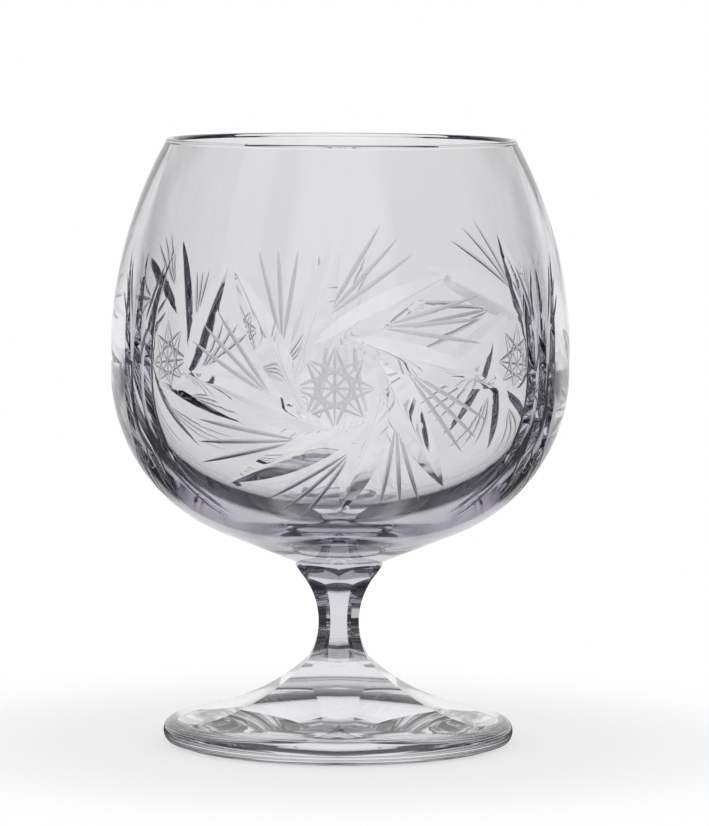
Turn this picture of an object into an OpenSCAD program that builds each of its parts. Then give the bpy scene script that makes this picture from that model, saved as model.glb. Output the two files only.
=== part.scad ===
// Cut-glass brandy snifter: a wide bowl drawn in to the rim, a short panelled stem and a round foot.
// Three wheel-cut pinwheels stand round the bowl, parted by sheaves of long mitres.
// Millimetres, +Z up, origin in the middle of the ring that rests on the table.

/* [Bowl] */
// Height of the rim above the table
rim_height = 125; // [116:0.5:140]
// Outside width of the rim
rim_diameter = 72.6; // [62:0.2:84]
// Outside width of the bowl at its widest
belly_diameter = 94.6; // [88:0.2:104]
// Height of the widest place above the table
belly_height = 81; // [75:0.5:88]
// Height of the upright band below the widest place
belly_band = 3.6; // [2:0.2:6]
// Height of the seam between bowl and stem
bowl_seat = 38; // [34:0.5:41]
// Width of the seat that the bowl has on the stem
seat_diameter = 20; // [18:0.2:24]
// Thickness of the glass at the rim
rim_wall = 1.8; // [1.4:0.1:2.6]
// Thickness of the glass at the belly
belly_wall = 4.4; // [3.6:0.1:5.4]
// Thickness of the glass at the bottom of the bowl
bottom_wall = 8.4; // [6:0.2:11]

/* [Wheel cutting] */
// Pinwheels round the bowl
pinwheels = 3; // [3:1:3]
// Height of a pinwheel's middle above the foot of the upright band
pinwheel_rise = 0.7; // [0:0.1:2]
// Blades of a pinwheel
blades = 8; // [6:1:8]
// Radius of the ring that the blades leave
blade_ring = 9.2; // [8:0.2:11]
// Length of a blade
blade_length = 33.6; // [28:0.2:36]
// How much longer the level blades are, and how much shorter the upright ones
blade_stretch = 2.6; // [0:0.2:3]
// Part of the blade that lies behind its touch on the ring
blade_lead = 3.4; // [1:0.2:5]
// Depth of a blade
blade_depth = 1.2; // [0.6:0.05:1.5]
// Turn of the first blade of the front pinwheel from the level
blade_turn = 27; // [20:1:32]
// The same for the pinwheel behind on the right
right_turn = 12; // [8:1:32]
// The same for the pinwheel behind on the left
left_turn = 31; // [20:1:34]
// Angle of the edge of the wheel that cuts the blades
blade_angle = 140; // [112:1:146]
// Depth of the mitres in the sheaf between two pinwheels
sheaf_depth = 1.15; // [0.8:0.05:1.3]
// Reach of the sheaf above the band
sheaf_rise = 26; // [18:0.5:29]
// Reach of the sheaf below the band, measured along the glass
sheaf_fall = 31; // [26:0.5:34]
// Distance of the sheaf's outer mitres from its middle one at the waist
sheaf_waist = 4.4; // [4.2:0.1:5.2]
// Spread of the outer mitres between their waist and their lower ends
sheaf_spread = 9.2; // [5:0.2:11]
// Angle of the edge of the wheel that cuts the sheaf
sheaf_angle = 112; // [90:1:114]

/* [Stem] */
// Panels round stem and foot
panels = 6; // [6:1:6]
// Width across the stem's panels at the waist
waist_width = 8.3; // [7:0.1:10]
// Height of the waist above the table
waist_height = 25.3; // [24:0.1:27]
// Radius of the wheel that hollows the stem's panels
panel_radius = 16.4; // [15:0.1:18]
// Width of the collar under the bowl
collar_diameter = 18; // [16.5:0.1:19]
// Height of the tapered part of the collar
collar_height = 4; // [3:0.1:5]
// Narrowing of the collar over its tapered part
collar_taper = 0.2; // [0.1:0.1:0.6]

/* [Foot] */
// Width of the foot
foot_diameter = 72.4; // [66:0.2:80]
// Thickness of the foot at its edge
foot_edge = 5; // [4:0.1:6]
// Height of the seam between foot and stem
foot_height = 17.4; // [16:0.1:18.5]
// Width across the foot's panels at the seam
neck_width = 12.8; // [12.4:0.1:14.6]
// Radius of the sweep of the foot's panels
sweep_radius = 40; // [36:0.2:43]
// Inner width of the ring that rests on the table
ring_inner = 50; // [40:0.5:58]
// Outer width of the ring that rests on the table
ring_outer = 66; // [62:0.5:69]
// Height of the hollow under the foot
hollow_height = 1.6; // [0.8:0.1:2.4]

/* [Hidden] */
$fn = 96;
glass_tint = [0.86, 0.89, 0.92];
full_turn = 360;
half_turn = 180;
quarter_turn = 90;
arc_steps = 12;
rim_steps = 6;
edge_steps = 5;
cut_overrun = 6;

// Outside of the bowl: one arc up to the rim, the upright band, one arc below it, a slope to the seat
belly_r = belly_diameter / 2;
rim_r = rim_diameter / 2;
seat_r = seat_diameter / 2;
rim_round = rim_wall / 2;
rim_edge = rim_height - rim_round;
upper_rise = rim_edge - belly_height;
upper_draw = belly_r - rim_r;
upper_r = (pow(upper_rise, 2) + pow(upper_draw, 2)) / (2 * upper_draw);
upper_c = [belly_r - upper_r, belly_height];
upper_end = asin(upper_rise / upper_r);
lower_share = 0.914;
lower_r = lower_share * (belly_height - belly_band - bowl_seat);
lower_c = [belly_r - lower_r, belly_height - belly_band];
seat_reach = norm(lower_c - [seat_r, bowl_seat]);
seat_bearing = atan2(bowl_seat - lower_c[1], seat_r - lower_c[0]);
lower_end = seat_bearing + acos(lower_r / seat_reach);

// Inside of the bowl: one arc up to the rim, and below it a rounded form a little fuller than an ellipse
inner_r = belly_r - belly_wall;
inner_height = belly_height - belly_band / 2;
inner_rise = rim_edge - inner_height;
inner_draw = inner_r - (rim_r - rim_wall);
inner_upper_r = (pow(inner_rise, 2) + pow(inner_draw, 2)) / (2 * inner_draw);
inner_upper_c = [inner_r - inner_upper_r, inner_height];
inner_end = asin(inner_rise / inner_upper_r);
inner_floor = bowl_seat + bottom_wall;
inner_depth = inner_height - inner_floor;
inner_fullness = 2.2;
inner_steps = 18;

// Wheel cutting, laid out along the glass: u round the bowl, v up its side from a pinwheel's middle
degrees_per_radian = half_turn / PI;
blade_slope = tan(blade_angle / 2);
blade_bearing = atan(blade_ring / (blade_length - blade_lead));
pinwheel_turns = [blade_turn, right_turn, left_turn];
flattest_wheel = 2000;
sheaf_steps = 12;
sheaf_overrun_share = 1.05;
sheaf_proud = 0.3;
sheaf_slope = tan(sheaf_angle / 2);
sheaf_half = (sheaf_rise + sheaf_fall) / 2;
sheaf_middle = (sheaf_rise - sheaf_fall) / 2;
sheaf_bend = sheaf_spread / pow(sheaf_fall + belly_band / 2, 2);

// Stem and foot
waist_r = waist_width / 2;
collar_r = collar_diameter / 2;
panel_turn = full_turn / panels;
foot_r = foot_diameter / 2;
neck_r = neck_width / 2;
sweep_z = foot_edge + sweep_radius;
sweep_x = neck_r + sqrt(pow(sweep_radius, 2) - pow(sweep_z - foot_height, 2));
edge_round = foot_edge / 2;
blank_r = neck_r / cos(panel_turn / 2);

// Points of an arc round c from one angle to another
function arc(c, r, from, to, steps) =
    [for (i = [0:steps]) let (a = from + (to - from) * i / steps) c + r * [cos(a), sin(a)]];

// Place on the outside of the bowl at the length s above the foot of the band: radius, height and lean
function on_glass(s) =
    s < 0 ? on_arc(lower_c, lower_r, s / lower_r * degrees_per_radian)
    : s < belly_band ? [belly_r, lower_c[1] + s, 0]
    : on_arc(upper_c, upper_r, (s - belly_band) / upper_r * degrees_per_radian);
function on_arc(c, r, a) = [c[0] + r * cos(a), c[1] + r * sin(a), a];

// Curvature of the glass at s in the direction turned by t from the level, taken over the half length h
function curving(s, t, h) =
    let (upright = (on_glass(s + h)[2] - on_glass(s - h)[2]) / degrees_per_radian / (2 * h))
    let (p = on_glass(s))
    cos(p[2]) / p[0] * pow(cos(t), 2) + upright * pow(sin(t), 2);

// Radius of the curve along which a cut of depth d and half length h runs out of the glass at both ends
function run_radius(curve, d, h) = 1 / max(curve - 2 * d / pow(h, 2), 1 / flattest_wheel);

module bowl_blank() {
    rotate_extrude()
        polygon(concat(
            [[0, bowl_seat], [seat_r, bowl_seat]],
            arc(lower_c, lower_r, lower_end, 0, arc_steps),
            arc(upper_c, upper_r, 0, upper_end, arc_steps),
            arc([rim_r - rim_round, rim_edge], rim_round, half_turn / rim_steps,
                half_turn - half_turn / rim_steps, rim_steps - 2),
            arc(inner_upper_c, inner_upper_r, inner_end, 0, arc_steps),
            inner_bottom()
        ));
}

// Inside of the bowl from its widest place down to the middle of its floor
function inner_bottom() =
    [for (i = [1:inner_steps])
        let (a = quarter_turn * i / inner_steps)
        let (p = 2 / inner_fullness)
        [inner_r * pow(cos(a), p), inner_height - inner_depth * pow(sin(a), p)]];

// V-edged ring whose edge lies on a circle of radius r, sunk by d below the place where x is 0
module mitre(r, d, from, to) {
    tall = 2 * d;
    translate([-r - d, 0, 0])
        rotate([0, 0, from])
            rotate_extrude(angle = to - from)
                polygon([[r, 0], [r + tall, tall * blade_slope], [r + tall, -tall * blade_slope]]);
}

// One blade, placed by its middle
module blade(turn) {
    half = (blade_length + blade_stretch * cos(2 * (turn + blade_bearing))) / 2;
    middle = half - blade_lead;
    touch = turn + quarter_turn;
    u = blade_ring * cos(touch) + middle * cos(turn);
    s = blade_ring * sin(touch) + middle * sin(turn) + pinwheel_rise;
    place = on_glass(s);
    r = run_radius(curving(s, turn, half), blade_depth, half);
    reach = (half + cut_overrun) / r * degrees_per_radian;
    rotate([0, 0, u / place[0] * degrees_per_radian])
        translate([place[0], 0, place[1]])
            rotate([0, -place[2], 0])
                rotate([turn, 0, 0])
                    mitre(r, blade_depth, -reach, reach);
}

// Point off the glass by h along its normal and by w across a line on it that leans by the given angle
function off_glass(p, azimuth, lean, h, w) =
    let (r = p[0] + h * cos(p[2]) + w * sin(lean) * sin(p[2]))
    let (t = w * cos(lean))
    let (z = p[1] + h * sin(p[2]) - w * sin(lean) * cos(p[2]))
    [r * cos(azimuth) - t * sin(azimuth), r * sin(azimuth) + t * cos(azimuth), z];

// Section of a mitre of the sheaf at the length s: its valley, and the edges of its V clear of the glass
function sheaf_section(hand, s) =
    let (p = on_glass(s))
    let (away = s - belly_band / 2)
    let (azimuth = hand * (sheaf_waist + sheaf_bend * pow(away, 2)) / p[0] * degrees_per_radian)
    let (lean = atan(2 * hand * sheaf_bend * away))
    let (d = sheaf_depth * (1 - pow((s - sheaf_middle) / sheaf_half, 2)))
    let (w = (d + sheaf_proud) * sheaf_slope)
    [
        off_glass(p, azimuth, lean, -d, 0),
        off_glass(p, azimuth, lean, sheaf_proud, -w),
        off_glass(p, azimuth, lean, sheaf_proud, w)
    ];

// Long mitre of the sheaf: the left one, the middle one or the right one for a hand of -1, 0 or 1
module sheaf_mitre(hand) {
    low = sheaf_middle - sheaf_overrun_share * sheaf_half;
    pitch = 2 * sheaf_overrun_share * sheaf_half / sheaf_steps;
    last = 3 * sheaf_steps;
    polyhedron(
        [for (i = [0:sheaf_steps]) each sheaf_section(hand, low + i * pitch)],
        concat(
            [[0, 1, 2], [last, last + 2, last + 1]],
            [for (k = [0:3:last - 3]) each [
                [k + 1, k + 4, k + 5],
                [k + 1, k + 5, k + 2],
                [k + 4, k + 1, k],
                [k + 4, k, k + 3],
                [k + 2, k + 5, k + 3],
                [k + 2, k + 3, k]
            ]]
        )
    );
}

module bowl() {
    color(glass_tint)
        difference() {
            bowl_blank();
            for (k = [0:pinwheels - 1])
                rotate([0, 0, k * full_turn / pinwheels - quarter_turn]) {
                    for (b = [0:blades - 1])
                        blade(pinwheel_turns[k] + b * full_turn / blades);
                    rotate([0, 0, full_turn / pinwheels / 2])
                        for (hand = [-1, 0, 1])
                            sheaf_mitre(hand);
                }
        }
}

// Six long wheels laid across, whose nearest line lies at x from the axis and at height z
module panel_cuts(x, z, r, length) {
    for (k = [0:panels - 1])
        rotate([0, 0, (k + 1 / 2) * panel_turn - quarter_turn])
            translate([x + r, 0, z])
                rotate([quarter_turn, 0, 0])
                    cylinder(h = length, r = r, center = true);
}

module stem() {
    color(glass_tint)
        difference() {
            rotate_extrude()
                polygon([
                    [0, foot_height],
                    [collar_r - collar_taper, foot_height],
                    [collar_r - collar_taper, bowl_seat - collar_height],
                    [collar_r, bowl_seat],
                    [0, bowl_seat]
                ]);
            panel_cuts(waist_r, waist_height, panel_radius, 2 * collar_diameter);
        }
}

module foot() {
    color(glass_tint)
        difference() {
            rotate_extrude()
                polygon(concat(
                    [[0, hollow_height], [ring_inner / 2, 0], [ring_outer / 2, 0]],
                    arc([foot_r - edge_round, edge_round], edge_round, -quarter_turn / 2, quarter_turn,
                        edge_steps),
                    [[blank_r, foot_height], [0, foot_height]]
                ));
            panel_cuts(sweep_x - sweep_radius, sweep_z, sweep_radius, 2 * foot_diameter);
        }
}

bowl();
stem();
foot();
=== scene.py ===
"""Cut-glass brandy snifter: bowl, stem and foot of clear glass, on a pale table in soft studio light."""
import math

import bmesh
import bpy
import numpy as np
from mathutils import Matrix, Vector
from mathutils.geometry import delaunay_2d_cdt


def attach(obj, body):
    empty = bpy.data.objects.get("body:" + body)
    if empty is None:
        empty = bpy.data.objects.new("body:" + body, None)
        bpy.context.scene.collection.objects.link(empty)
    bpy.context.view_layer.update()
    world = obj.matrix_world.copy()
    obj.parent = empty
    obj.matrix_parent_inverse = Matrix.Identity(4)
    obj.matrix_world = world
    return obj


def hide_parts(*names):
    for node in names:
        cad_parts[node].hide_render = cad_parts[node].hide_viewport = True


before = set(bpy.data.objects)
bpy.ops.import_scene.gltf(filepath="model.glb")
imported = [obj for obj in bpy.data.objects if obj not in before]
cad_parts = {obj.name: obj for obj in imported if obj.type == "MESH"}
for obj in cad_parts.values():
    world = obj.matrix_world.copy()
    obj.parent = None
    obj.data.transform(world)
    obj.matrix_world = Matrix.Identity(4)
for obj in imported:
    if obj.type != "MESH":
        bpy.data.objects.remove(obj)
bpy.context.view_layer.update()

# Sizes in millimetres, those of the part's source, with the middle and bend of the sheaf rounded.
# Bowl: rim, belly with its upright band, seat on the stem, and the inside
MM = 0.001
RIM_R, RIM_EDGE, RIM_ROUND = 36.3, 124.1, 0.9
BELLY_R, BELLY_TOP, BAND = 47.3, 81.0, 3.6
SEAT_R, SEAT_Z, LOWER_SHARE = 10.0, 38.0, 0.914
INNER_R, INNER_Z, FLOOR_Z, INNER_FULL = 42.9, 79.2, 46.4, 2.2

# Blades of a pinwheel: their ring, length, lead before the ring, and stretch of the level ones
BLADES, BLADE_RING, BLADE_LENGTH, BLADE_LEAD, BLADE_STRETCH = 8, 9.2, 33.6, 3.4, 2.6
BLADE_DEPTH, BLADE_SLOPE, RING_S = 1.2, math.tan(math.radians(70)), 0.7

# Sheaf between two pinwheels: depth, fall, half width and height of its waist, bend of the outer mitres
SHEAF_DEPTH, SHEAF_SLOPE, SHEAF_FALL = 1.15, math.tan(math.radians(56)), 31.0
SHEAF_WAIST, SHEAF_MIDDLE, SHEAF_BEND = 4.4, 2.0, 0.0085

# Stem and foot: panels, collar, sweep of the foot, and the ring and hollow under it
PANELS, WAIST_R, WAIST_Z, PANEL_R = 6, 4.15, 25.3, 16.4
COLLAR_R, COLLAR_FOOT, COLLAR_TAPER = 9.0, 34.0, 0.2
FOOT_R, FOOT_EDGE, FOOT_TOP, NECK_R, SWEEP_R = 36.2, 5.0, 17.4, 6.4, 40.0
RING_IN, RING_OUT, HOLLOW = 25.0, 33.0, 1.6

# Ease at the outer edge of the ring, out and up
RING_EASE, RING_EASE_Z = 0.6, 0.12

# Each third of the bowl: turn of the first blade, share of their length that fine lines keep where they
# point straight up, rise of the sheaf on either side. Blades lose half the share that the lines lose.
# The turns are those of the source, where no blade is shortened and all sheaves rise by 26.
PINWHEELS = ((27.0, 1.0, (26.0, 26.0)), (12.0, 0.6, (26.0, 20.0)), (31.0, 0.6, (20.0, 26.0)))
UP_FROM, BLADE_EASE = 0.3, 0.5

# Fine matte cuts, which are in the scene alone: fans beside the blades, the star, sprays beside the sheaves
FAN_R, FAN_AT, FAN_WAY, FAN_SPREAD = 13.6, 75, 21, (-12, 0, 12)
FAN_START, FAN_END, FAN_STRETCH, FAN_WIDTH, FAN_DEPTH = 1.0, 21.5, 0.7, 0.9, 0.27
STAR_TURN, STAR_S, STAR_POINTS, STAR_SKIP = -0.02, 0.0, 8, 3
STAR_R, STAR_WIDTH, STAR_DEPTH = 8.2, 0.85, 0.26
SPOKE_SHARE, SPOKE_WIDTH, SPOKE_DEPTH = 0.97, 0.6, 0.18
SPRAY_S, SPRAY_TURNS, SPRAY_SHORTER = 4.0, (20.0, 28.0, 36.0), (0.0, 2.0, 5.0)
SPRAY_UP, SPRAY_BELOW_TOP, SPRAY_DOWN = 8.0, 5.0, (12.0, 30.0)
SPRAY_WIDTH, SPRAY_DEPTH = 0.8, 0.25

# Form of a cut: powers of its taper, power of its depth after polishing, roundness of its valley
MITRE_TAPER, LINE_TAPER, POLISH, VALLEY = 2, 3, 1.25, 0.1
LEAST_SHAPE, LEAST_MATTE = 1e-6, 0.004

# Columns of a row that describes one cut
AZIMUTH, ORIGIN_S, START, END = 0, 1, slice(2, 4), slice(4, 6)
WIDTH, DEPTH, TAPER, MATTE, SAGITTA = range(6, 11)

# The pieces overlap by the seam, and the bowl lies a skin's depth inside the solid
SEAM, SKIN = 0.03, 0.03

# Net of the cut zone: columns of a third, pitches and clearance in millimetres, lines along a cut
COLUMNS, NET_PITCH, NET_CLEAR, NET_WELD = 80, 1.7, 0.55, 1e-5
SIDE_PITCH, SIDE_GUARD, LINE_PITCH, FEWEST_POINTS = 0.65, 0.01, 1.2, 7
MITRE_LINES = (-1, -0.6, -0.3, -0.15, -0.06, 0, 0.06, 0.15, 0.3, 0.6, 1)
MATTE_LINES = (-1, 0, 1)

# Plain glass of the bowl: rows of its parts, ends of the rim's arc in radians, rings of the seat
UPPER_ROWS, RIM_ROWS, WALL_ROWS, BOTTOM_ROWS, SLOPE_ROWS, LOWER_ROWS = 10, 12, 34, 48, 5, 4
RIM_START, RIM_STOP = 0.25, math.pi - 0.1
SEAT_RINGS = (0, 4, 8, SEAT_R - 0.1)

# Stem and foot: columns of a panel, rows, steps between rows, where the search for a panel's end begins
PANEL_COLUMNS, HALVINGS, STEM_ROWS, COLLAR_STEP = 24, 40, 48, 8
FOOT_ROWS, NECK_STEP, BLANK_ROWS, EDGE_ROWS = 44, 14, 6, 48
ARCH_ABOVE, TRIM_BEYOND, HOLLOW_RINGS = 30.0, 20.0, (24.0, 16.0, 8.0, 0.0)

# Welding in metres, and angles in degrees above which an edge stays sharp
WELD, SLIVER = 1e-6, 1e-7
BOWL_SHARP, STEM_SHARP, FOOT_SHARP = 16, 18, 5

# Outside of the bowl: an arc to the rim, the upright band, an arc below it, a slope to the seat
BAND_FOOT = BELLY_TOP - BAND
UPPER_R = ((RIM_EDGE - BELLY_TOP) ** 2 + (BELLY_R - RIM_R) ** 2) / (2 * (BELLY_R - RIM_R))
UPPER_END = math.asin((RIM_EDGE - BELLY_TOP) / UPPER_R)
LOWER_R = LOWER_SHARE * (BAND_FOOT - SEAT_Z)
LOWER_X = BELLY_R - LOWER_R
SEAT_REACH = math.hypot(SEAT_R - LOWER_X, SEAT_Z - BAND_FOOT)
LOWER_END = math.atan2(SEAT_Z - BAND_FOOT, SEAT_R - LOWER_X) + math.acos(LOWER_R / SEAT_REACH)
LOWER_S = LOWER_R * LOWER_END
SEAT_S = LOWER_S - math.sqrt(SEAT_REACH ** 2 - LOWER_R ** 2)
RIM_S = BAND + UPPER_R * UPPER_END

# The cut zone of the bowl, as lengths along the glass above the foot of the band
CUT_LOW, CUT_HIGH = -38.5, 33.0
THIRD = math.radians(120)


def arc(x, z, r, start, end, steps):
    """Points of a circle round (x, z) with radius r, from one angle in radians to another."""
    a = np.linspace(start, end, steps)
    return np.stack([x + r * np.cos(a), z + r * np.sin(a)], axis=1)


def on_glass(s):
    """Radius, height and lean of the bowl's outside at the length s along it: circle arcs above and below
    the upright band, and the straight slope below the lower arc."""
    up = np.clip((s - BAND) / UPPER_R, 0, None)
    low = np.clip(s, LOWER_S, 0) / LOWER_R
    slope = np.clip(s - LOWER_S, None, 0)
    lean = up + low
    r = BELLY_R - UPPER_R * (1 - np.cos(up)) - LOWER_R * (1 - np.cos(low)) - slope * np.sin(LOWER_END)
    z = BAND_FOOT + np.clip(s, 0, BAND) + UPPER_R * np.sin(up) + LOWER_R * np.sin(low)
    z = z + slope * np.cos(LOWER_END)
    return r - SKIN * np.cos(lean), z - SKIN * np.sin(lean), lean


def ways(degrees):
    """Unit vectors in the unrolled surface at the given angles from the level."""
    return np.stack([np.cos(np.radians(degrees)), np.sin(np.radians(degrees))], axis=1)


def upward(way):
    """How far directions point up: 0 for a slight rise or less, 1 for straight up."""
    return np.clip(way[:, 1:] - UP_FROM, 0, None) / (1 - UP_FROM)


def wheel_cuts(first, lift, rises):
    """Every cut that touches one third of the bowl, as rows of: azimuth and length of the cut's own origin,
    both ends as (u, v) from there, width, depth, power of its taper, whether it stays matte, its sagitta.
    It takes the turn of the pinwheel's first blade, the share of their length that upward fine lines keep,
    and the rise of the sheaf on either side.
    A pinwheel has straight blades that leave a ring as tangents, the level ones longer and the upright
    ones shorter by the cosine of twice their bearing, a fan of fine lines in each gap, and an
    eight-pointed star of chords with spokes. A sheaf stands between two pinwheels: a straight mitre
    between two that bend away from it as parabolas, with sprays of fine lines beside its upper and lower
    ends."""
    rows = []

    def add(azimuth, s, start, end, width, depth, matte, sagitta=0):
        origin = np.tile([azimuth, s], (len(start), 1))
        form = [width, depth, LINE_TAPER if matte else MITRE_TAPER, matte, sagitta]
        rows.append(np.concatenate([origin, start, end, np.tile(form, (len(start), 1))], axis=1))

    turn = first + np.arange(BLADES) * 360 / BLADES
    bearing = math.degrees(math.atan(BLADE_RING / (BLADE_LENGTH - BLADE_LEAD)))
    length = BLADE_LENGTH + BLADE_STRETCH * ways(2 * (turn + bearing))[:, :1]
    length = length * (1 - BLADE_EASE * (1 - lift) * upward(ways(turn)))
    start = BLADE_RING * ways(turn + 90) - BLADE_LEAD * ways(turn)
    add(0, RING_S, start, start + length * ways(turn), 2 * BLADE_DEPTH * BLADE_SLOPE, BLADE_DEPTH, 0)

    fan = FAN_R * ways(turn + FAN_AT)
    reach = FAN_END + FAN_STRETCH * (length - BLADE_LENGTH)
    for spread in FAN_SPREAD:
        way = ways(turn + FAN_WAY + spread)
        end = reach * (1 - (1 - lift) * upward(way))
        add(0, RING_S, fan + FAN_START * way, fan + end * way, FAN_WIDTH, FAN_DEPTH, 1)

    tips = STAR_R * ways(np.arange(STAR_POINTS) * 360 / STAR_POINTS)
    add(STAR_TURN, STAR_S, tips, np.roll(tips, -STAR_SKIP, axis=0), STAR_WIDTH, STAR_DEPTH, 1)
    spokes = SPOKE_SHARE * tips[:STAR_POINTS // 2]
    add(STAR_TURN, STAR_S, spokes, -spokes, SPOKE_WIDTH, SPOKE_DEPTH, 1)

    for side, rise in zip((-1, 1), rises):
        middle = side * THIRD / 2
        ends = np.array([-SHEAF_FALL, rise])
        spread = SHEAF_WAIST + SHEAF_BEND * (ends - SHEAF_MIDDLE) ** 2
        sagitta = SHEAF_BEND * (ends[1] - ends[0]) ** 2 / 4
        for hand in (0, -1, 1):
            low, high = (np.array([[hand * at, end]]) for at, end in zip(spread, ends))
            add(middle, 0, low, high, 2 * SHEAF_DEPTH * SHEAF_SLOPE, SHEAF_DEPTH, 0, hand * sagitta)
        for up, (low, high) in ((1, (SPRAY_UP, rise - SPRAY_BELOW_TOP)), (-1, SPRAY_DOWN)):
            way = ways(up * (90 + np.array(SPRAY_TURNS) * side))
            end = (high - np.array(SPRAY_SHORTER)[:, None]) * way
            add(middle, SPRAY_S * up, low * way, end, SPRAY_WIDTH, SPRAY_DEPTH, 1)
    return np.concatenate(rows)


def hollow(x):
    """Cross-section of a cut: a hyperbola, 0 in its rounded valley and 1 at its edge."""
    return (np.sqrt(x ** 2 + VALLEY ** 2) - VALLEY) / (math.sqrt(1 + VALLEY ** 2) - VALLEY)


def cut_depth(cuts, theta, s):
    """Depth below the blown surface: the deepest of the cuts there. A cut is a V whose width follows
    1 - |2t - 1|^p along its length t, and whose valley leaves the chord by the sagitta times
    1 - (2t - 1)^2. The depth of a matte cut follows its width. Polishing has eased the ends of the
    others, whose depth follows a power of the width. Gives the polished and the matte depth."""
    start, polished = cuts[:, START], cuts[:, MATTE] == 0
    u = (theta[:, None] - cuts[:, AZIMUTH]) * on_glass(s)[0][:, None]
    v = s[:, None] - cuts[:, ORIGIN_S]
    span = cuts[:, END] - start
    length = np.hypot(span[:, 0], span[:, 1])
    way = span / length[:, None]
    du, dv = u - start[:, 0], v - start[:, 1]
    t = (du * way[:, 0] + dv * way[:, 1]) / length
    q = np.abs(dv * way[:, 0] - du * way[:, 1] - cuts[:, SAGITTA] * (1 - (2 * t - 1) ** 2))
    shape = 1 - np.abs(2 * t - 1) ** cuts[:, TAPER]
    half = cuts[:, WIDTH] / 2 * np.clip(shape, LEAST_SHAPE, None)
    taper = np.clip(shape, 0, None) ** np.where(polished, POLISH, 1)
    depth = cuts[:, DEPTH] * taper * np.clip(1 - hollow(q / half), 0, None)
    return np.where(polished, depth, 0).max(axis=1), np.where(polished, 0, depth).max(axis=1)


def cut_lines(cuts):
    """Valley, edges and lines along the flanks of every cut, as runs of points (azimuth, s)."""
    runs = []
    for azimuth, origin_s, ua, va, ub, vb, width, _, power, matte, sagitta in cuts:
        length = math.hypot(ub - ua, vb - va)
        t = np.linspace(0, 1, max(FEWEST_POINTS, int(length / LINE_PITCH)))
        half = width / 2 * (1 - np.abs(2 * t - 1) ** power)
        for side in MATTE_LINES if matte else MITRE_LINES:
            off = side * half + sagitta * (1 - (2 * t - 1) ** 2)
            u = ua + (ub - ua) * t - off * (vb - va) / length
            s = origin_s + va + (vb - va) * t + off * (ub - ua) / length
            runs.append(np.stack([azimuth + u / on_glass(s)[0], s], axis=1))
    return runs


def cut_third(cuts):
    """One third of the cut zone as a flat sheet of triangles in (azimuth, s): the lines of the cuts and an
    even scatter of points between them, joined by a Delaunay net that keeps every cut line as an edge.
    The net is made a little wider than the third and trimmed to it, so that cuts may cross its sides."""
    side = np.arange(CUT_LOW, CUT_HIGH + SIDE_GUARD, SIDE_PITCH)
    level = np.linspace(-THIRD / 2, THIRD / 2, COLUMNS + 1)
    border = [
        np.stack([np.full(len(side), -THIRD / 2), side], axis=1),
        np.stack([np.full(len(side), THIRD / 2), side], axis=1),
        np.stack([level, np.full(len(level), CUT_LOW)], axis=1),
        np.stack([level, np.full(len(level), CUT_HIGH)], axis=1),
    ]
    runs = cut_lines(cuts) + border
    fixed = np.concatenate(runs) * [BELLY_R, 1]
    ends = np.cumsum([len(run) for run in runs])
    link = np.stack([np.arange(len(fixed) - 1), np.arange(1, len(fixed))], axis=1)
    link = link[~np.isin(link[:, 0], ends - 1)]

    wide, tall = THIRD / 2 * BELLY_R - NET_PITCH / 2, NET_PITCH * math.sqrt(3) / 2
    across, along = np.arange(-wide, wide, NET_PITCH), np.arange(CUT_LOW + tall, CUT_HIGH - tall / 2, tall)
    x, y = np.meshgrid(across, along)
    x = x + (np.arange(len(x)) % 2)[:, None] * NET_PITCH / 2
    loose = np.stack([x.ravel(), y.ravel()], axis=1)
    loose = loose[np.abs(loose[:, 0]) < wide]
    polished, matte = cut_depth(cuts, loose[:, 0] / BELLY_R, loose[:, 1])
    loose = loose[(polished + matte) == 0]
    near = ((loose[:, None, :] - fixed[None, :, :]) ** 2).sum(axis=2).min(axis=1)
    loose = loose[near > NET_CLEAR ** 2]

    points = np.concatenate([fixed, loose])
    made = delaunay_2d_cdt([Vector(p) for p in points], link.tolist(), [], 0, NET_WELD, False)
    flat = np.array([p[:] for p in made[0]]) / [BELLY_R, 1]
    faces = np.array(made[2])
    return flat, faces[np.abs(flat[faces, 0].mean(axis=1)) < THIRD / 2]


def grid_faces(rows, columns):
    """Four-sided faces of a grid of points, closed in the direction of its columns."""
    i, j = np.meshgrid(np.arange(rows - 1), np.arange(columns), indexing="ij")
    k = (j + 1) % columns
    corners = [i * columns + j, i * columns + k, (i + 1) * columns + k, (i + 1) * columns + j]
    return np.stack(corners, axis=2).reshape(-1, 4)


def revolve(profile, turns):
    """Surface of revolution: the profile's radius and height carried round the axis by the given azimuths.
    Gives points and four-sided faces."""
    r, z = profile[:, 0, None], profile[:, 1, None]
    points = np.stack([r * np.cos(turns), r * np.sin(turns), z + 0 * turns], axis=2)
    return points.reshape(-1, 3), grid_faces(len(profile), len(turns))


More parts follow.
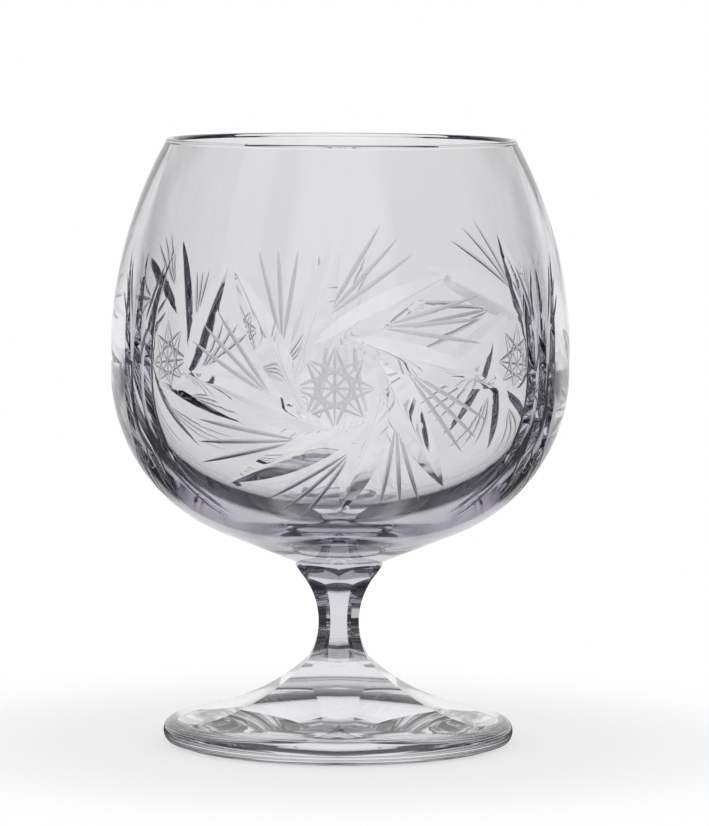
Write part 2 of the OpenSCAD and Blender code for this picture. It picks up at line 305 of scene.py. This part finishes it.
def glass_piece(name, shells, sharp, matte=None):
    """A closed glass mesh from shells of points in millimetres and faces, welded where they meet, smooth
    shaded with the cut edges kept sharp. The matte share of each face is kept as an attribute."""
    first = np.cumsum([0] + [len(points) for points, faces in shells])
    points = np.concatenate([points for points, faces in shells]) * MM
    faces = [face for (_, shell), start in zip(shells, first) for face in (shell + start).tolist()]
    mesh = bpy.data.meshes.new(name)
    mesh.from_pydata(points.tolist(), [], faces)
    share = mesh.attributes.new("matte", "FLOAT", "FACE")
    share.data.foreach_set("value", np.zeros(len(faces)) if matte is None else matte)
    work = bmesh.new()
    work.from_mesh(mesh)
    bmesh.ops.remove_doubles(work, verts=work.verts, dist=WELD)
    bmesh.ops.dissolve_degenerate(work, edges=work.edges, dist=SLIVER)
    bmesh.ops.triangulate(work, faces=work.faces)
    bmesh.ops.recalc_face_normals(work, faces=work.faces)
    work.to_mesh(mesh)
    work.free()
    mesh.shade_smooth()
    mesh.set_sharp_from_angle(angle=math.radians(sharp))
    piece = bpy.data.objects.new(name, mesh)
    bpy.context.collection.objects.link(piece)
    return piece


def bowl_glass_piece():
    """The bowl: three cut thirds, each with its own turn of the pinwheel, and surfaces of revolution for
    the plain glass. One goes from the cuts over the rim and down the inside, a circle arc above a quarter
    of a superellipse; the other goes from the seat up to the cuts."""
    shells, ground = [], []
    for k, pinwheel in enumerate(PINWHEELS):
        cuts = wheel_cuts(*pinwheel)
        flat, faces = cut_third(cuts)
        r, z, lean = on_glass(flat[:, 1])
        depth = np.maximum(*cut_depth(cuts, flat[:, 0], flat[:, 1]))
        r, z = r - depth * np.cos(lean), z - depth * np.sin(lean)
        azimuth = flat[:, 0] - math.pi / 2 + k * THIRD
        shells.append((np.stack([r * np.cos(azimuth), r * np.sin(azimuth), z], axis=1), faces))
        middle = flat[faces].mean(axis=1)
        polished, matte = cut_depth(cuts, middle[:, 0], middle[:, 1])
        ground.append(((matte > polished) & (matte > LEAST_MATTE)).astype(float))

    turns = np.arange(3 * COLUMNS) * THIRD / COLUMNS - math.pi / 2 - THIRD / 2
    upper = np.stack(on_glass(np.linspace(CUT_HIGH, RIM_S, UPPER_ROWS))[:2], axis=1)
    rim = arc(RIM_R - RIM_ROUND, RIM_EDGE, RIM_ROUND - SKIN, RIM_START, RIM_STOP, RIM_ROWS)
    draw = INNER_R - (RIM_R - 2 * RIM_ROUND)
    wall_r = ((RIM_EDGE - INNER_Z) ** 2 + draw ** 2) / (2 * draw)
    wall = arc(INNER_R - wall_r, INNER_Z, wall_r, math.asin((RIM_EDGE - INNER_Z) / wall_r), 0, WALL_ROWS)
    a = np.linspace(0, math.pi / 2, BOTTOM_ROWS)[1:, None]
    fall = (INNER_Z - FLOOR_Z) * np.sin(a) ** (2 / INNER_FULL)
    bottom = np.hstack([INNER_R * np.cos(a) ** (2 / INNER_FULL), INNER_Z - fall])
    bottom[-1, 0] = 0
    shells.append(revolve(np.concatenate([upper, rim, wall, bottom]), turns))

    slope_s, lower_s = np.linspace(SEAT_S, LOWER_S, SLOPE_ROWS), np.linspace(LOWER_S, CUT_LOW, LOWER_ROWS)
    lower = np.stack(on_glass(np.concatenate([slope_s, lower_s[1:]]))[:2], axis=1)
    seat = np.array([[r, SEAT_Z] for r in SEAT_RINGS])
    shells.append(revolve(np.concatenate([seat, lower]), turns))
    plain = np.zeros(sum(len(faces) for _, faces in shells[len(PINWHEELS):]))
    return glass_piece("bowl_cut_glass", shells, BOWL_SHARP, np.concatenate(ground + [plain]))


def panel_angles():
    """Azimuth of every column round a six-panelled piece, and its angle from the middle of its panel.
    Ridges fall on columns, and one of them faces the front."""
    turn = 2 * math.pi / PANELS
    column = np.arange(PANELS * PANEL_COLUMNS)
    azimuth = column * turn / PANEL_COLUMNS - math.pi / 2
    return azimuth, (column % PANEL_COLUMNS) * turn / PANEL_COLUMNS - turn / 2


def crossing(inside, low, high):
    """Where each column leaves the inside between low and high, found by halving."""
    for halving in range(HALVINGS):
        middle = (low + high) / 2
        held = inside(middle)
        low, high = np.where(held, middle, low), np.where(held, high, middle)
    return middle


def panelled_piece(name, azimuth, r, z, sharp):
    """A closed glass piece from the radius and height of every row and column round the axis."""
    points = np.stack([r * np.cos(azimuth), r * np.sin(azimuth), z], axis=2)
    return glass_piece(name, [(points.reshape(-1, 3), grid_faces(*r.shape))], sharp)


def stem_glass_piece():
    """The stem: each height is a hexagon whose flats lie at the waist radius plus the sagitta of the panel
    wheel, trimmed by the round blank; rows bunch at the arch where flat and blank meet."""
    azimuth, psi = panel_angles()
    bottom, top = FOOT_TOP - SEAM, SEAT_Z + SEAM

    def flat_at(z):
        return WAIST_R + PANEL_R - np.sqrt(PANEL_R ** 2 - (z - WAIST_Z) ** 2)

    def blank_at(z):
        above = np.clip(z - COLLAR_FOOT, 0, None) / (SEAT_Z - COLLAR_FOOT)
        return COLLAR_R - COLLAR_TAPER + COLLAR_TAPER * above

    def in_panel(z):
        return flat_at(z) < blank_at(z) * np.cos(psi)

    arch = crossing(in_panel, np.full(len(psi), ARCH_ABOVE), np.full(len(psi), SEAT_Z))
    w = np.linspace(0, 1, STEM_ROWS)[:, None]
    panel, collar = bottom + (arch - bottom) * w, arch + (top - arch) * w[::COLLAR_STEP][1:]
    z = np.concatenate([panel, collar, np.full((1, len(psi)), top)])
    r = np.minimum(flat_at(np.minimum(z, arch)) / np.cos(psi), blank_at(z))
    r = np.concatenate([0 * r[:1], 0.5 * r[:1], r, 0.5 * r[-1:], 0 * r[-1:]])
    z = np.concatenate([z[:1], z[:1], z, z[-1:], z[-1:]])
    return panelled_piece("stem_panelled_glass", azimuth, r, z, STEM_SHARP)


def foot_glass_piece():
    """The foot: its top is the lower of the panel wheel's sweep, a circle over the distance along the
    panel's middle, and the straight slope of the round blank; then the rounded edge, the ring and the
    hollow."""
    azimuth, psi = panel_angles()
    sweep_z = FOOT_EDGE + SWEEP_R
    sweep_x = NECK_R + math.sqrt(SWEEP_R ** 2 - (sweep_z - FOOT_TOP) ** 2)
    blank_r = NECK_R / math.cos(math.pi / PANELS)
    edge = FOOT_EDGE / 2
    edge_r = FOOT_R - edge

    def sweep_at(r):
        return sweep_z - np.sqrt(SWEEP_R ** 2 - (sweep_x - r * np.cos(psi)) ** 2)

    def blank_at(r):
        return FOOT_TOP + (r - blank_r) * (FOOT_EDGE - FOOT_TOP) / (edge_r - blank_r)

    def in_panel(r):
        return sweep_at(r) < blank_at(r)

    trim = crossing(in_panel, np.full(len(psi), TRIM_BEYOND), np.full(len(psi), edge_r))
    w = np.linspace(0, 1, FOOT_ROWS)[:, None]
    neck = NECK_R / np.cos(psi)
    seat, panel = neck * w[::NECK_STEP], neck + (trim - neck) * w[1:]
    blank = trim + (edge_r - trim) * np.linspace(0, 1, BLANK_ROWS)[1:, None]
    hollow_r = np.array(HOLLOW_RINGS)
    under = np.concatenate([
        arc(edge_r, edge, edge, math.pi / 2, -math.pi / 4, EDGE_ROWS)[1:],
        [[RING_OUT + RING_EASE, RING_EASE_Z], [RING_OUT, 0], [(RING_IN + RING_OUT) / 2, 0], [RING_IN, 0]],
        np.stack([hollow_r, HOLLOW * (RING_IN - hollow_r) / RING_IN], axis=1),
    ])
    r = np.concatenate([seat, panel, blank, np.tile(under[:, :1], len(psi))])
    heights = [np.full(seat.shape, FOOT_TOP), sweep_at(panel), blank_at(blank)]
    z = np.concatenate(heights + [np.tile(under[:, 1:], len(psi))])
    return panelled_piece("foot_panelled_glass", azimuth, r, z, FOOT_SHARP)


class Value:
    """One output of a node tree. Sums and products of such values add Math nodes to the tree."""

    def __init__(self, tree, socket=None):
        self.tree, self.socket = tree, socket

    def node(self, kind, settings=None, inputs=None, output=0):
        """Adds any node: its settings first, then a number or a link for each named input."""
        made = self.tree.nodes.new(kind)
        for name, setting in (settings or {}).items():
            setattr(made, name, setting)
        for name, given in (inputs or {}).items():
            if isinstance(given, Value):
                self.tree.links.new(given.socket, made.inputs[name])
            else:
                made.inputs[name].default_value = given
        return Value(self.tree, made.outputs[output]) if len(made.outputs) else made

    def math(self, operation, *terms):
        """One Math node with the given terms."""
        return self.node("ShaderNodeMath", {"operation": operation}, dict(enumerate(terms)))

    def __add__(self, other):
        return self.math("ADD", self, other)

    def __radd__(self, other):
        return self.math("ADD", other, self)

    def __sub__(self, other):
        return self.math("SUBTRACT", self, other)

    def __rsub__(self, other):
        return self.math("SUBTRACT", other, self)

    def __mul__(self, other):
        return self.math("MULTIPLY", self, other)

    def __rmul__(self, other):
        return self.math("MULTIPLY", other, self)

    def __truediv__(self, other):
        return self.math("DIVIDE", self, other)

    def __abs__(self):
        return self.math("ABSOLUTE", self)

    def most(self, *others):
        """The greatest of this value and the others."""
        made = self
        for other in others:
            made = self.math("MAXIMUM", made, other)
        return made

    def step(self, low, high):
        """Smooth rise from 0 at low to 1 at high."""
        span = {"Value": self, "From Min": low, "From Max": high, "To Min": 0.0, "To Max": 1.0}
        return self.node("ShaderNodeMapRange", {"interpolation_type": "SMOOTHSTEP"}, span)

    def part(self, axis):
        """One coordinate of a vector."""
        return self.node("ShaderNodeSeparateXYZ", None, {0: self}, output=axis)

    def path(self, output):
        """What the ray that meets the surface has been through."""
        return self.node("ShaderNodeLightPath", output=output)


def new_material(name):
    """An empty node material and its tree."""
    material = bpy.data.materials.new(name)
    material.use_nodes = True
    material.node_tree.nodes.clear()
    return material, Value(material.node_tree)


# Glass: its refraction, colours of the polished surface, the ground surface and thick glass, scales of the
# ripple and the grain, roughness, heights of ripple and grain in metres, and density of the thick colour
IOR = 1.55
CLEAR, GROUND, BODY = (0.985, 0.985, 0.99, 1), (0.64, 0.64, 0.66, 1), (0.53, 0.5, 0.6, 1)
RIPPLE_SCALE, GRAIN_SCALE, GRAIN_HEIGHT = 70.0, 2600.0, 0.00003
POLISHED_ROUGH, GROUND_ROUGH, GRAIN_ROUGH = 0.012, 0.26, 0.2
BOWL_RIPPLE, STEM_RIPPLE, FOOT_RIPPLE = 0.000004, 0.000003, 0.000003
BOWL_DENSITY, STEM_DENSITY, FOOT_DENSITY = 20.0, 40.0, 4.0


def clear_glass(name, ripple, density):
    """Clear lead glass: smooth where it is polished, with a faint ripple of hand work; the fine cuts keep
    the grain of the stone wheel, so they are rough and uneven. Thick glass is a little grey and violet."""
    material, tree = new_material(name)
    place = tree.node("ShaderNodeTexCoord", output="Object")
    cut = {"attribute_name": "matte", "attribute_type": "GEOMETRY"}
    matte = tree.node("ShaderNodeAttribute", cut, output="Fac")
    wave = tree.node("ShaderNodeTexNoise", None, {"Vector": place, "Scale": RIPPLE_SCALE, "Detail": 1.0})
    grain = tree.node("ShaderNodeTexNoise", None, {"Vector": place, "Scale": GRAIN_SCALE, "Detail": 2.0})
    rough = POLISHED_ROUGH + matte * (GROUND_ROUGH + GRAIN_ROUGH * grain)
    tint = tree.node("ShaderNodeMix", {"data_type": "RGBA"}, {0: matte, 6: CLEAR, 7: GROUND}, output=2)
    height = wave * ripple + matte * grain * GRAIN_HEIGHT
    bump = tree.node("ShaderNodeBump", None, {"Strength": 1.0, "Distance": 1.0, "Height": height})
    glass = tree.node("ShaderNodeBsdfPrincipled", None, {
        "Base Color": tint, "Roughness": rough, "IOR": IOR, "Transmission Weight": 1.0, "Normal": bump})
    body = tree.node("ShaderNodeVolumeAbsorption", None, {"Color": BODY, "Density": density})
    tree.node("ShaderNodeOutputMaterial", None, {"Surface": glass, "Volume": body})
    return material


def finish_piece(piece, material, node):
    """Gives a piece its material, hangs it under the root body and hides the part of model.glb that it
    stands for.
    """
    piece.data.materials.append(material)
    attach(piece, "root")
    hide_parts(node)


def entered(tree):
    """1 for a ray that has been inside the glass."""
    return tree.path("Transmission Depth").step(0.0, 1.0)


def thrown_back(tree, times):
    """1 for a ray that has entered the glass and that the glass has thrown back at least so many times.
    Parts of the stage are dim for such rays, as if black cards stood beside the glass."""
    return tree.path("Glossy Depth").step(times - 1.0, times) * entered(tree)


def between(value, rise, fall):
    """1 between two smooth steps, 0 below the first and above the second."""
    return value.step(*rise) * (1 - value.step(*fall))


# Table: its rings in millimetres and columns, its drop under the glass in metres, its colour, its levels
# where 1 is white, and the ranges in metres, or as cosines, over which its parts begin and end
TABLE_RINGS, TABLE_COLUMNS, TABLE_DROP = (0, 40, 80, 150, 400, 1300), 96, 0.00002
TABLE_COLOUR = (0.93, 0.93, 0.93, 1)
TABLE_LEVEL, TABLE_RISE, DIMMED, HALF_DIMMED = 0.66, 0.24, 0.94, 0.65
SHADOW_LEVEL, SHADOW_END, BEHIND = 0.6, (0.05, 0.12), (-0.2, 0.3)
SIDE_COSINE, SIDE_START, FOOT_COVER = (0.74, 0.86), (0.012, 0.03), (0.024, 0.044)
MANY_RING, FEW_RING = ((0.08, 0.11), (0.4, 0.55)), ((0.3, 0.38), (0.6, 0.75))


def pale_table():
    """Wide round table top: matte near the glass, where its shadow falls, and passing into the white
    background further out. Light that came straight through the glass sees it pale all round. It is dark
    on the left and right for reflections and for light that the glass threw back. One ring of it is dim
    for light thrown back once or twice, and another for light thrown back three to five times."""
    turns = np.arange(TABLE_COLUMNS) * 2 * math.pi / TABLE_COLUMNS
    points, faces = revolve(np.array([[r, 0] for r in TABLE_RINGS], dtype=float), turns)
    mesh = bpy.data.meshes.new("pale_table")
    mesh.from_pydata((points * MM - [0, 0, TABLE_DROP]).tolist(), [], faces.tolist())
    table = bpy.data.objects.new("pale_table", mesh)
    bpy.context.collection.objects.link(table)
    work = bmesh.new()
    work.from_mesh(mesh)
    bmesh.ops.remove_doubles(work, verts=work.verts, dist=WELD)
    bmesh.ops.recalc_face_normals(work, faces=work.faces)
    work.to_mesh(mesh)
    work.free()

    material, tree = new_material("pale_table_top")
    place = tree.node("ShaderNodeTexCoord", output="Object")
    depth = abs(place.part(1))
    far = tree.node("ShaderNodeVectorMath", {"operation": "LENGTH"}, {0: place}, output="Value")
    flank = 1 - (depth / far).step(*SIDE_COSINE)
    camera, through = tree.path("Is Camera Ray"), tree.path("Is Transmission Ray")
    mirrored = tree.path("Is Glossy Ray") * (1 - through) * flank
    straight = 1 - thrown_back(tree, 1)
    side = thrown_back(tree, 1) * flank * far.step(*SIDE_START)
    few = thrown_back(tree, 1) * (1 - thrown_back(tree, 3)) * between(far, *FEW_RING)
    many = thrown_back(tree, 3) * (1 - thrown_back(tree, 6)) * between(far, *MANY_RING)
    dim = many.most(side, HALF_DIMMED * few)
    level = TABLE_LEVEL + TABLE_RISE * depth.step(*BEHIND).most(straight)
    level = camera.most(level * (1 - DIMMED * dim.most(mirrored)))
    shown = camera * (SHADOW_LEVEL + (1 - SHADOW_LEVEL) * far.step(*SHADOW_END))
    shown = shown + through * dim.most(straight, far.step(*FOOT_COVER)) + mirrored
    lit = tree.node("ShaderNodeBsdfDiffuse", None, {"Color": TABLE_COLOUR})
    white = tree.node("ShaderNodeEmission", None, {"Color": (1, 1, 1, 1), "Strength": level})
    blend = tree.node("ShaderNodeMixShader", None, {0: shown, 1: lit, 2: white})
    tree.node("ShaderNodeOutputMaterial", None, {"Surface": blend})
    mesh.materials.append(material)


# Room: its levels where 1 is white, directions in degrees from straight behind the glass and above the
# level, and the cosines over which its parts fade
ROOM, PANEL, FRONT_SHARE, WINDOW, CEILING, TABLE_LIGHT = 0.05, 0.88, 0.8, 0.65, 0.5, 0.9
PANEL_RISE, ASIDE_RISE, WINDOW_AT = 5, 20, -122
PANEL_FADE, BELT_FADE, ASIDE_FADE, CEILING_FADE = (0.55, 0.85), (0.5, 0.8), (0.0, 0.5), (0.75, 0.95)
WINDOW_SIDE, WINDOW_END = (0.16, 0.22), (0.5, 0.6)


def studio_light():
    """A wide bright panel behind the glass, a tall narrow window in front on the left that shows only
    through the glass, a soft ceiling and a dim room elsewhere. For light that came straight through the
    glass the room is bright all round below the ceiling, so that the glass is clear from every side.
    Light thrown back twice or more sees a second panel in front, and light thrown back four or five
    times sees dim sides. The camera sees plain white, and the table is lit nearly evenly."""
    world = bpy.data.worlds.new("studio")
    bpy.context.scene.world = world
    world.use_nodes = True
    world.node_tree.nodes.clear()
    tree = Value(world.node_tree)
    place = tree.node("ShaderNodeTexCoord", output="Generated")
    up = place.part(2)

    def towards(azimuth, elevation):
        turn, rise = math.radians(azimuth), math.radians(elevation)
        way = [math.cos(rise) * math.sin(turn), math.cos(rise) * math.cos(turn), math.sin(rise)]
        product = {"operation": "DOT_PRODUCT"}
        return tree.node("ShaderNodeVectorMath", product, {0: place, 1: way}, output="Value")

    across = abs(towards(WINDOW_AT + 90, 0))
    window = (1 - across.step(*WINDOW_SIDE)) * towards(WINDOW_AT, 0).step(*WINDOW_END)
    behind = towards(0, PANEL_RISE).step(*PANEL_FADE)
    front = FRONT_SHARE * towards(180, PANEL_RISE).step(*PANEL_FADE) * thrown_back(tree, 2)
    around = (1 - thrown_back(tree, 1)) * (1 - up.step(*BELT_FADE)) * entered(tree)
    aside = 1 - towards(0, ASIDE_RISE).most(towards(180, ASIDE_RISE)).step(*ASIDE_FADE)
    dim = thrown_back(tree, 4) * (1 - thrown_back(tree, 6)) * aside
    level = ROOM + PANEL * behind.most(front, around) + WINDOW * window * entered(tree)
    level = (level + CEILING * up.step(*CEILING_FADE)) * (1 - DIMMED * dim)
    level = level.most(tree.path("Is Camera Ray"), TABLE_LIGHT * tree.path("Is Diffuse Ray"))
    light = tree.node("ShaderNodeBackground", None, {"Color": (1, 1, 1, 1), "Strength": level})
    tree.node("ShaderNodeOutputWorld", None, {"Surface": light})


# Camera in metres and degrees
LENS, SENSOR, ROLL = 231.0, 36.0, 0.35
CAMERA_PLACE, CAMERA_AIM = Vector((0.003, -1.09, 0.165)), Vector((0.003, 0, 0.0684))


def photo_camera():
    """A long lens above the rim, looking slightly down along +Y, turned a touch about its own axis."""
    camera = bpy.data.objects.new("camera", bpy.data.cameras.new("camera"))
    bpy.context.collection.objects.link(camera)
    camera.data.lens = LENS
    camera.data.sensor_width = SENSOR
    turn = (CAMERA_AIM - CAMERA_PLACE).to_track_quat("-Z", "Y").to_matrix().to_4x4()
    roll = Matrix.Rotation(math.radians(ROLL), 4, "Z")
    camera.matrix_world = Matrix.Translation(CAMERA_PLACE) @ turn @ roll
    bpy.context.scene.camera = camera


photo_camera()
studio_light()
pale_table()
bowl = bowl_glass_piece()
stem = stem_glass_piece()
foot = foot_glass_piece()
finish_piece(bowl, clear_glass("clear_cut_glass", BOWL_RIPPLE, BOWL_DENSITY), "bowl")
finish_piece(stem, clear_glass("clear_stem_glass", STEM_RIPPLE, STEM_DENSITY), "stem")
finish_piece(foot, clear_glass("clear_foot_glass", FOOT_RIPPLE, FOOT_DENSITY), "foot")

# Light may cross many walls of glass
BOUNCES, GLOSSY_BOUNCES = 32, 16
scene = bpy.context.scene
scene.view_settings.view_transform = "Standard"
scene.cycles.max_bounces = BOUNCES
scene.cycles.transmission_bounces = BOUNCES
scene.cycles.glossy_bounces = GLOSSY_BOUNCES
